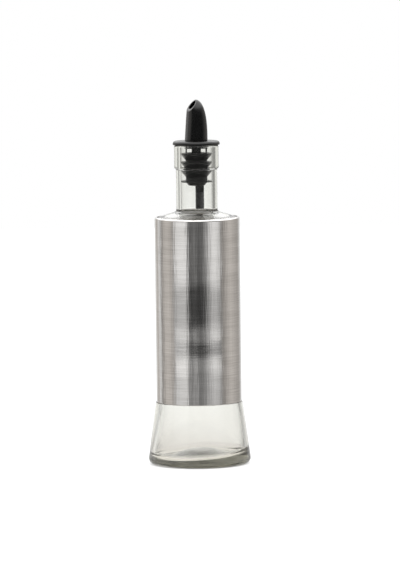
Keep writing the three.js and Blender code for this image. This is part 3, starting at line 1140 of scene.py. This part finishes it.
@dataclass
class Spout:
    """The hard pour spout: a beak cut at a slant, its spigot and its pour pipe, one moulding."""

    radius: float = 7.0
    height: float = 26.2
    crown: float = 26.24
    squareness: float = 2.5
    crown_power: float = 2.6
    side_power: float = 4.5
    front_taper: float = 0.075
    wall: float = 1.2
    crown_wall: float = 0.9
    lip_height: float = 18.6
    mouth_angle: float = 53.0
    # The rim's rounding: across the rim in millimetres, and down from it in degrees of lean.
    rim_ease: float = 0.14
    rim_step: float = 0.6
    spigot_radius: float = 5.7
    spigot_length: float = 4.4
    well_radius: float = 4.5
    well_floor: float = 1.2
    pipe_radius: float = 3.0
    pipe_wall: float = 0.9
    edge: float = 0.3
    edge_land: float = 0.2
    # The leans of the lowest planes that cut the outside and the hollow.
    first_tilt: float = 2.6
    hollow_tilt: float = 8.0
    arc_points: int = 5
    columns: int = 128
    rows: int = 60
    # How far a cut's edge is looked for, along the plane and from its middle.
    search_along: float = 70.0
    search_points: int = 7001
    search_out: float = 30.0
    halvings: int = 45

    @property
    def turns(self) -> np.ndarray:
        """Angles of a loop's points."""
        return np.arange(self.columns) / self.columns * FULL_TURN

    def crown_at(self, inner: bool) -> float:
        """Height of the crown, of the hollow or of the outside."""
        return self.crown - (self.crown_wall if inner else 0.0)

    def slice_at(self, height: Numbers, inner: bool) -> tuple[Numbers, Numbers, Numbers]:
        """Give the middle and the half sizes of the beak's level slices.

        Args:
            height: Heights above the beak's base.
            inner: Whether the hollow is meant, or the outside.

        Returns:
            The slices' middles along X, and their half sizes along X and Y.
        """
        radius = self.radius - (self.wall if inner else 0.0)
        share = np.clip(height / self.crown_at(inner), 0, 1)
        back = radius * np.sqrt(1 - share ** self.crown_power)
        front = radius - self.front_taper * height
        half = radius * np.sqrt(1 - share ** self.side_power)
        return (back - front) / 2, (back + front) / 2, half

    def slice_loop(self, height: float, inset: float, inner: bool) -> np.ndarray:
        """Draw a level slice of the beak.

        Args:
            height: The slice's height above the beak's base.
            inset: How far it is drawn in all round.
            inner: Whether the hollow is meant, or the outside.

        Returns:
            The slice's points, from the back round the far side.
        """
        middle, reach, half = (float(size) for size in self.slice_at(height, inner))
        turn = self.turns
        along = np.abs(np.cos(turn) / (reach - inset)) ** self.squareness
        across = np.abs(np.sin(turn) / (half - inset)) ** self.squareness
        radius = (along + across) ** (-1 / self.squareness)
        level = np.full(self.columns, height)
        return np.column_stack((middle + radius * np.cos(turn), radius * np.sin(turn), level))

    def tilted_loop(self, tilt: float, inner: bool) -> np.ndarray:
        """Cut the beak by a plane that leans towards the mouth's slant.

        The planes all pass through the line where the mouth's plane meets the base.

        Args:
            tilt: The plane's lean in degrees; the mouth's own lean is mouth_angle.
            inner: Whether the hollow is cut, or the outside.

        Returns:
            The cut's points, from the back round the far side, above the beak's base.
        """
        lean, least = math.radians(tilt), 1e-6
        lip_x = self.front_taper * self.lip_height - self.radius
        pivot = lip_x - self.lip_height / math.tan(math.radians(self.mouth_angle))

        def outside(reach: np.ndarray, side: np.ndarray) -> np.ndarray:
            """Tell which points of the plane lie outside the beak.

            Args:
                reach: The points' distances from the line that the planes share.
                side: Their distances to the side.

            Returns:
                True for each point that is outside.
            """
            height = reach * math.sin(lean)
            middle, long, wide = self.slice_at(height, inner)
            along = np.abs(pivot + reach * math.cos(lean) - middle) / np.maximum(long, least)
            across = np.abs(side) / np.maximum(wide, least)
            off = along ** self.squareness + across ** self.squareness
            return (off > 1) | (height > self.crown_at(inner))

        span = np.linspace(0, self.search_along, self.search_points)
        held = span[~outside(span, np.zeros_like(span))]
        middle = (held[0] + held[-1]) / 2
        turn = self.turns
        near, far = np.zeros(self.columns), np.full(self.columns, self.search_out)
        for _ in range(self.halvings):
            half = (near + far) / 2
            out = outside(middle + half * np.cos(turn), half * np.sin(turn))
            near, far = np.where(out, near, half), np.where(out, half, far)
        reach = middle + near * np.cos(turn)
        return np.column_stack(
            (pivot + reach * math.cos(lean), near * np.sin(turn), reach * math.sin(lean))
        )

    def level_loop(self, radius: float, height: float) -> np.ndarray:
        """Draw a level circle above the beak's base."""
        turn, level = self.turns, np.full(self.columns, height)
        return np.column_stack((radius * np.cos(turn), radius * np.sin(turn), level))

    def rim(self, outer: Sequence[np.ndarray], inner: Sequence[np.ndarray]) -> list[np.ndarray]:
        """Round the mouth's rim.

        Args:
            outer: The loop just under the rim and the rim's own loop, outside.
            inner: The same two, inside.

        Returns:
            The loops from outside to inside.
        """
        across = inner[1] - outer[1]
        across /= np.linalg.norm(across, axis=1, keepdims=True)
        climb = np.linspace(0, 1, self.arc_points)
        loops = []
        for (under, edge), land, shares in (
            (outer, outer[1] + across * self.rim_ease, climb),
            (inner, inner[1] - across * self.rim_ease, climb[::-1]),
        ):
            loops += [(1 - t) ** 2 * under + 2 * t * (1 - t) * edge + t * t * land for t in shares]
        return loops

    def loops(self) -> list[np.ndarray]:
        """List the loops of the whole moulding, up the outside and down the inside.

        Returns:
            Closed loops of as many points each; the last one joins the first.
        """
        low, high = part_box("pour_spout")
        pipe_end = low.z / MM - (high.z / MM - self.height)
        edge, bore = self.edge, self.pipe_radius - self.pipe_wall
        loops = [
            self.level_loop(self.spigot_radius, 0.0), self.slice_loop(0.0, edge + self.edge_land, False)
        ]
        for turn in np.linspace(0, math.pi / 2, self.arc_points):
            loops.append(self.slice_loop(edge * (1 - math.cos(turn)), edge * (1 - math.sin(turn)), False))
        highest = self.mouth_angle - 2 * self.rim_step
        for tilt in np.linspace(self.first_tilt, highest, self.rows):
            loops.append(self.tilted_loop(tilt, False))
        outer, inner = (
            [self.tilted_loop(self.mouth_angle - gap, hollow) for gap in (self.rim_step, 0.0)]
            for hollow in (False, True)
        )
        loops += self.rim(outer, inner)
        for tilt in np.linspace(highest, self.hollow_tilt, self.rows // 2):
            loops.append(self.tilted_loop(tilt, True))
        loops.append(self.slice_loop(self.wall, 0.0, True))
        well_bottom = self.well_floor - self.spigot_length
        for r, h in (
            (self.well_radius, self.wall),
            (self.well_radius, well_bottom),
            (bore, well_bottom),
            (bore, pipe_end),
            (self.pipe_radius, pipe_end),
            (self.pipe_radius, -self.spigot_length),
            (self.spigot_radius, -self.spigot_length),
        ):
            loops.append(self.level_loop(r, h))
        return loops

    def build(self, plastic: Finish) -> None:
        """Make the spout and dress it.

        Args:
            plastic: Its material.
        """
        loops = self.loops()
        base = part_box("pour_spout")[1].z / MM - self.height
        points = np.concatenate(loops) + np.array((0, 0, base))
        rows, columns = len(loops), self.columns
        faces = []
        for i in range(rows):
            here, there = i * columns, (i + 1) % rows * columns
            for j in range(columns):
                k = (j + 1) % columns
                faces.append((here + j, here + k, there + k, there + j))
        mesh = bpy.data.meshes.new("spout_beak")
        mesh.from_pydata((points * MM).tolist(), [], faces)
        mesh.materials.append(plastic)
        obj = new_object("spout_beak", mesh)
        close_up(obj)
        hand_over(obj, Body.SPOUT, "pour_spout")


@dataclass
class Studio:
    """The white studio: camera, floor and the light round the object."""

    azimuth: float = -21.0
    distance: float = 3200.0
    eye_height: float = 407.6
    pitch: float = 5.232
    roll: float = 0.67
    side_step: float = 1.37
    lens: float = 317.7
    near_floor: float = 240.0
    floor_radius: float = 1900.0
    floor_sides: int = 96
    # The paper's own tone, and how far it is lifted where it is seen and where it is mirrored.
    paper: float = 0.35
    paper_seen: float = 0.75
    paper_mirrored: float = 0.3
    # Between these distances from the axis the foot's shade ends, and the room's tone comes in.
    foot_shade: Point = (27.0, 34.0)
    room_begins: Point = (40.0, 110.0)
    # The floor's light seen through the glass, with the object's shadow painted under and near the foot and
    # a painted bright ring beside it: distance from the axis, red, green and blue.
    through: tuple[Row, ...] = (
        (0, 0.46, 0.44, 0.4), (22, 0.46, 0.44, 0.4), (24.5, 0.74, 0.7, 0.63), (30, 0.8, 0.77, 0.7),
        (36, 0.6, 0.57, 0.52), (55, 0.54, 0.51, 0.475), (100, 0.51, 0.485, 0.455),
        (200, 0.6, 0.59, 0.57), (400, 0.685, 0.69, 0.675),
    )
    # What the room shows, by the angle in degrees from the camera's side, positive to the right:
    # grey sides with darker gaps, and white behind. The front, 0 here, has a level of its own where
    # it is mirrored, seen through the glass, or seen through it on the floor.
    ring: tuple[Point, ...] = (
        (-180, 1.0), (-158, 0.95), (-150, 0.8), (-144, 0.5), (-138, 0.72), (-130, 0.98), (-121, 0.9),
        (-117, 0.36), (-113, 0.34),
        (-110, 0.6), (-97, 0.77), (-85, 0.76), (-72, 0.56), (-66, 0.5), (-63, 0), (61, 0),
        (64, 0.34), (68, 0.33), (76, 0.5), (97, 0.78), (126, 0.56), (140, 0.47), (160, 0.95), (180, 1.0),
    )
    front_mirrored: float = 0.03
    front_clear: float = 0.45
    front_floor: float = 0.4
    # The ring is warm outside the front, where it isn't white.
    warmth: float = 0.9
    warm_beyond: float = 66.0
    warm_below: float = 0.9
    # Seen through the glass, the room is deeper and nearly neutral.
    deepening: float = 2.0
    glass_tint: tuple[float, float, float] = (1.07, 1.08, 1.05)
    # The light overhead, its edge by the upward part of a direction, and its lean to the back.
    overhead: float = 2.3
    overhead_edge: Point = (0.4, 0.66)
    overhead_lean: float = 14.0
    # Low down the mirrored room is dimmer.
    underneath: float = 0.3
    underneath_edge: Point = (-0.5, -0.2)
    # The light that falls on matt surfaces, from below and from above.
    soft_light: Point = (0.65, 1.3)
    # The light screen in front: by the mirrored angle, the share of its left, middle and right
    # light, and by the height in millimetres, the level of each.
    screen_radius: float = 110.0
    screen_columns: int = 49
    mirror_radius: float = 27.25
    screen_across: tuple[Row, ...] = (
        (-66, 0.7, 0, 0), (-62, 0.9, 0, 0), (-56, 0.97, 0, 0), (-48, 1, 0, 0), (-38, 1, 0, 0),
        (-33, 1, 0.1, 0), (-30, 0.75, 0.4, 0), (-26, 0.22, 0.8, 0), (-21, 0.02, 1, 0), (-15, 0, 1, 0),
        (-12, 0, 1.55, 0), (-5, 0, 1.5, 0), (-1, 0, 1, 0), (5, 0, 0.82, 0), (11, 0, 0.95, 0.02),
        (17, 0, 1, 0.08), (22, 0, 1, 0.2), (27, 0, 0.8, 0.42), (33, 0, 0.3, 0.68), (38, 0, 0, 0.92),
        (44, 0, 0, 1), (50, 0, 0, 0.94), (56, 0, 0, 0.88), (62, 0, 0, 0.68), (66, 0, 0, 0.5),
    )
    screen_upward: tuple[Row, ...] = (
        (8, 0.92, 0.3, 0.76), (46, 0.94, 0.3, 0.78), (51, 1.12, 0.28, 0.84), (54, 1.3, 0.36, 1.15),
        (61, 1.34, 0.44, 1.26), (63.5, 0.6, 0.03, 0.38), (70.5, 0.6, 0.03, 0.38), (72.5, 1.1, 0.31, 1.14),
        (78.5, 1.1, 0.31, 1.14), (81, 0.72, 0.06, 0.7), (107, 0.74, 0.06, 0.7), (111, 1.16, 0.17, 1.14),
        (168, 1.16, 0.17, 1.14),
    )

    def camera(self) -> None:
        """Place the camera as the photograph was taken and make it the scene's."""
        turn, tilt, roll = (math.radians(a) for a in (self.azimuth, self.pitch, self.roll))
        back = Vector((math.sin(turn), -math.cos(turn), 0))
        right = Vector((math.cos(turn), math.sin(turn), 0))
        ahead = -back * math.cos(tilt) - Vector((0, 0, math.sin(tilt)))
        level_up = right.cross(ahead)
        up = level_up * math.cos(roll) + right * math.sin(roll)
        side = ahead.cross(up)
        data = bpy.data.cameras.new("studio_camera")
        data.lens = self.lens
        data.clip_start = 0.01
        eye = bpy.data.objects.new("studio_camera", data)
        bpy.context.scene.collection.objects.link(eye)
        place = back * self.distance + right * self.side_step + Vector((0, 0, self.eye_height))
        facing = Matrix((side, up, -ahead)).transposed().to_4x4()
        eye.matrix_world = Matrix.Translation(place * MM) @ facing
        bpy.context.scene.camera = eye

    @staticmethod
    def bearing(tree: Tree, way: Node | Socket) -> Node:
        """Find the angle of a direction or a place from the front, positive to the right.

        Args:
            tree: The node tree to add to.
            way: The direction or place, as the camera's side faces it.

        Returns:
            The node that gives the angle in radians.
        """
        parts = add_node(tree, "ShaderNodeSeparateXYZ", {0: way}).outputs
        ahead = add_node(tree, "ShaderNodeMath", {0: parts["Y"], 1: -1.0}, operation="MULTIPLY")
        return add_node(tree, "ShaderNodeMath", {0: parts["X"], 1: ahead}, operation="ARCTAN2")

    def round_the_room(self, tree: Tree, way: Socket, front: float) -> Node:
        """Look up the ring of the room by the angle of a direction or a place.

        Args:
            tree: The node tree to add to.
            way: The direction or place, in the object's frame.
            front: The level of the room's front.

        Returns:
            The node that gives the room's colour there.
        """
        faced = add_node(
            tree, "ShaderNodeVectorRotate", {"Vector": way, "Angle": -math.radians(self.azimuth)},
            rotation_type="Z_AXIS",
        )
        angle = self.bearing(tree, faced)
        share = add_node(
            tree, "ShaderNodeMapRange", {"Value": angle, 1: -math.pi, 2: math.pi, 3: 0.0, 4: 1.0}
        )
        ring = add_node(tree, "ShaderNodeValToRGB", {"Fac": share})
        stops = []
        for degrees, level in self.ring:
            level = level or front
            warmed = abs(degrees) > self.warm_beyond and level < self.warm_below
            warm = self.warmth if warmed else 1.0
            stops.append(((degrees + 180) / 360, (level, level * (1 + warm) / 2, level * warm, 1)))
        set_stops(ring.color_ramp, stops)
        return ring

    def through_glass(self, tree: Tree, room: Node) -> Socket:
        """Deepen the room's tones for what shows through the glass.

        Args:
            tree: The node tree to add to.
            room: The node that gives the room's colour.

        Returns:
            The deeper tone, without the room's warmth.
        """
        green = add_node(tree, "ShaderNodeSeparateColor", {0: room}).outputs["Green"]
        deep = add_node(tree, "ShaderNodeMath", {0: green, 1: self.deepening}, operation="POWER")
        return add_node(
            tree, "ShaderNodeMix", {0: 1.0, 6: deep, 7: (*self.glass_tint, 1)},
            data_type="RGBA", blend_type="MULTIPLY",
        ).outputs[2]

    def floor(self) -> None:
        """Lay a round white floor that shows white and keeps the object's shadow."""
        material, tree, surface, place = new_material("white_paper_matt")
        path = add_node(tree, "ShaderNodeLightPath").outputs
        reach = add_node(tree, "ShaderNodeVectorMath", {0: place}, operation="LENGTH").outputs["Value"]
        # Under the foot no light reaches the paper, so what shows of it in the open ends there.
        near, far = (limit * MM for limit in self.foot_shade)
        shown: list[Node] = []
        for kind, level in (("Is Camera Ray", self.paper_seen), ("Is Glossy Ray", self.paper_mirrored)):
            clear = add_node(
                tree, "ShaderNodeMapRange", {"Value": reach, 1: near, 2: far, 4: level},
                interpolation_type="SMOOTHSTEP",
            )
            shown.append(
                add_node(tree, "ShaderNodeMath", {0: clear, 1: path[kind]}, operation="MULTIPLY")
            )
        most = add_node(tree, "ShaderNodeMath", {0: shown[0], 1: shown[1]}, operation="MAXIMUM")
        # Through the glass it is dull under the foot, a painted shadow, painted bright beside it, then
        # duller with the object's painted shadow, and clear again further out.
        last = self.through[-1][0]
        share = add_node(tree, "ShaderNodeMapRange", {"Value": reach, 1: 0.0, 2: last * MM})
        through = add_node(tree, "ShaderNodeValToRGB", {"Fac": share})
        set_stops(through.color_ramp, [(at / last, (*tone, 1)) for at, *tone in self.through])
        # Away from the foot it is darker where the room is dark: the room's shade is painted onto it.
        near, far = (limit * MM for limit in self.room_begins)
        away = add_node(tree, "ShaderNodeMapRange", {"Value": reach, 1: near, 2: far})
        room = self.through_glass(tree, self.round_the_room(tree, place, self.front_floor))
        dimmed = add_node(
            tree, "ShaderNodeMix", {0: away, 6: through, 7: room}, data_type="RGBA", blend_type="MULTIPLY"
        ).outputs[2]
        tone = add_node(
            tree, "ShaderNodeMix", {0: path["Is Transmission Ray"], 6: most, 7: dimmed}, data_type="RGBA"
        ).outputs[2]
        paper = add_node(tree, "ShaderNodeBsdfDiffuse", {"Color": (self.paper, self.paper, self.paper, 1)})
        glow = add_node(tree, "ShaderNodeEmission", {"Color": tone, "Strength": 1.0})
        both = add_node(tree, "ShaderNodeAddShader", {0: paper, 1: glow})
        tree.links.new(both.outputs[0], surface)
        # Metal mirrors only the paper close by; beyond it, the dark room shows.
        for name, inner, outer in (
            ("studio_floor", 0.0, self.near_floor), ("studio_floor_far", self.near_floor, self.floor_radius)
        ):
            form = bmesh.new()
            for radius in (inner, outer):
                if radius:
                    bmesh.ops.create_circle(form, segments=self.floor_sides, radius=radius * MM)
            if inner:
                bmesh.ops.bridge_loops(form, edges=list(form.edges))
            else:
                bmesh.ops.contextual_create(form, geom=list(form.edges))
            bmesh.ops.recalc_face_normals(form, faces=form.faces)
            laid = from_form(name, form, material)
            laid.visible_glossy = not inner

    def screen(self) -> None:
        """Stand a curved light screen in front, for the metal, the blacks and the glass to mirror."""
        material, tree, surface, place = new_material("light_screen_translucent")
        height = add_node(tree, "ShaderNodeSeparateXYZ", {0: place}).outputs["Z"]
        ratio = self.mirror_radius / self.screen_radius
        seen = [
            math.radians(m) - math.asin(ratio * math.sin(math.radians(m / 2)))
            for m, *_ in self.screen_across
        ]
        lights: list[Node] = []
        for value, places, rows in (
            (self.bearing(tree, place), seen, self.screen_across),
            (height, [row[0] * MM for row in self.screen_upward], self.screen_upward),
        ):
            first, last = places[0], places[-1]
            share = add_node(tree, "ShaderNodeMapRange", {"Value": value, 1: first, 2: last})
            ramp = add_node(tree, "ShaderNodeValToRGB", {"Fac": share})
            stops = [((at - first) / (last - first), (*row[1:], 1)) for at, row in zip(places, rows)]
            set_stops(ramp.color_ramp, stops)
            lights.append(ramp)
        level = add_node(
            tree, "ShaderNodeVectorMath", {0: lights[0], 1: lights[1]}, operation="DOT_PRODUCT"
        ).outputs["Value"]
        glow = add_node(tree, "ShaderNodeEmission", {"Color": (1, 1, 1, 1), "Strength": level})
        tree.links.new(glow.outputs[0], surface)
        form = bmesh.new()
        low, high = self.screen_upward[0][0], self.screen_upward[-1][0]
        columns = []
        for turn in np.linspace(seen[0], seen[-1], self.screen_columns):
            x, y = self.screen_radius * math.sin(turn), -self.screen_radius * math.cos(turn)
            columns.append([form.verts.new(Vector((x, y, z)) * MM) for z in (low, high)])
        for left, right in zip(columns, columns[1:]):
            form.faces.new((left[0], left[1], right[1], right[0]))
        stood = from_form("light_screen", form, material)
        stood.matrix_world = Matrix.Rotation(math.radians(self.azimuth), 4, "Z")
        stood.visible_camera = stood.visible_diffuse = False
        stood.visible_transmission = stood.visible_shadow = False

    def world(self) -> None:
        """Light the object from all round: the room's ring, a bright overhead and a white behind."""
        world = bpy.data.worlds.new("white_studio")
        bpy.context.scene.world = world
        world.use_nodes = True
        tree = world.node_tree
        tree.nodes.clear()
        path = add_node(tree, "ShaderNodeLightPath").outputs
        way = add_node(tree, "ShaderNodeTexCoord").outputs["Generated"]
        height = add_node(tree, "ShaderNodeSeparateXYZ", {0: way}).outputs["Z"]
        # The light overhead reaches further down behind the object.
        turn, lean = math.radians(self.azimuth), math.radians(self.overhead_lean)
        leant = (-math.sin(turn) * math.sin(lean), math.cos(turn) * math.sin(lean), math.cos(lean))
        behind = add_node(
            tree, "ShaderNodeVectorMath", {0: way, 1: leant}, operation="DOT_PRODUCT"
        ).outputs["Value"]
        upward = add_node(tree, "ShaderNodeMath", {0: height, 1: behind}, operation="MAXIMUM")
        low, high = self.overhead_edge
        above = add_node(
            tree, "ShaderNodeMapRange", {"Value": upward, 1: low, 2: high}, interpolation_type="SMOOTHSTEP"
        )
        low, high = self.underneath_edge
        below = add_node(
            tree, "ShaderNodeMapRange", {"Value": height, 1: low, 2: high, 3: self.underneath, 4: 1.0},
            interpolation_type="SMOOTHSTEP",
        )
        ring = self.round_the_room(tree, way, self.front_mirrored)
        room = add_node(
            tree, "ShaderNodeMix", {0: 1.0, 6: ring, 7: below}, data_type="RGBA", blend_type="MULTIPLY"
        ).outputs[2]
        clear = self.through_glass(tree, self.round_the_room(tree, way, self.front_clear))
        seen, clear = (
            add_node(
                tree, "ShaderNodeMix", {0: above, 6: around, 7: (level, level, level, 1)}, data_type="RGBA"
            ).outputs[2]
            for around, level in ((room, self.overhead), (clear, 1.0))
        )
        dim, bright = self.soft_light
        soft = add_node(
            tree, "ShaderNodeMapRange", {"Value": height, 1: -1.0, 2: 1.0, 3: dim, 4: bright}
        )
        # What is mirrored gives way to what the other rays see.
        for kind, shown in (
            ("Is Transmission Ray", clear), ("Is Diffuse Ray", soft), ("Is Camera Ray", (1, 1, 1, 1))
        ):
            seen = add_node(
                tree, "ShaderNodeMix", {0: path[kind], 6: seen, 7: shown}, data_type="RGBA"
            ).outputs[2]
        light = add_node(tree, "ShaderNodeBackground", {"Color": seen, "Strength": 1.0})
        add_node(tree, "ShaderNodeOutputWorld", {"Surface": light})

    def build(self) -> None:
        """Set up the whole studio."""
        bpy.context.scene.view_settings.view_transform = "Standard"
        self.camera()
        self.floor()
        self.screen()
        self.world()


def main() -> None:
    """Build the cruet and its studio."""
    logging.basicConfig(level=logging.INFO, format="%(name)s %(message)s")
    Studio().build()
    glass = ClearGlass().build()
    steel = BrushedSteel().build()
    adhesive = CuredAdhesive().build()
    plastic = MouldedBlack(
        "polypropylene_black_moulded", light="#161616", dark="#0e0e0e",
        roughness=(0.2, 0.29), ior=1.49, specular=0.5,
    ).build()
    elastomer = MouldedBlack(
        "elastomer_black_moulded", light="#131312", dark="#0b0b0b",
        roughness=(0.28, 0.38), ior=1.5, specular=0.42,
    ).build()
    turning = TurningTree()
    Bottle(turning).build(glass)
    Sleeve(turning).build(steel, adhesive)
    Stopper(turning).build(elastomer, plastic)
    Spout().build(plastic)


if __name__ == "__main__":
    main()
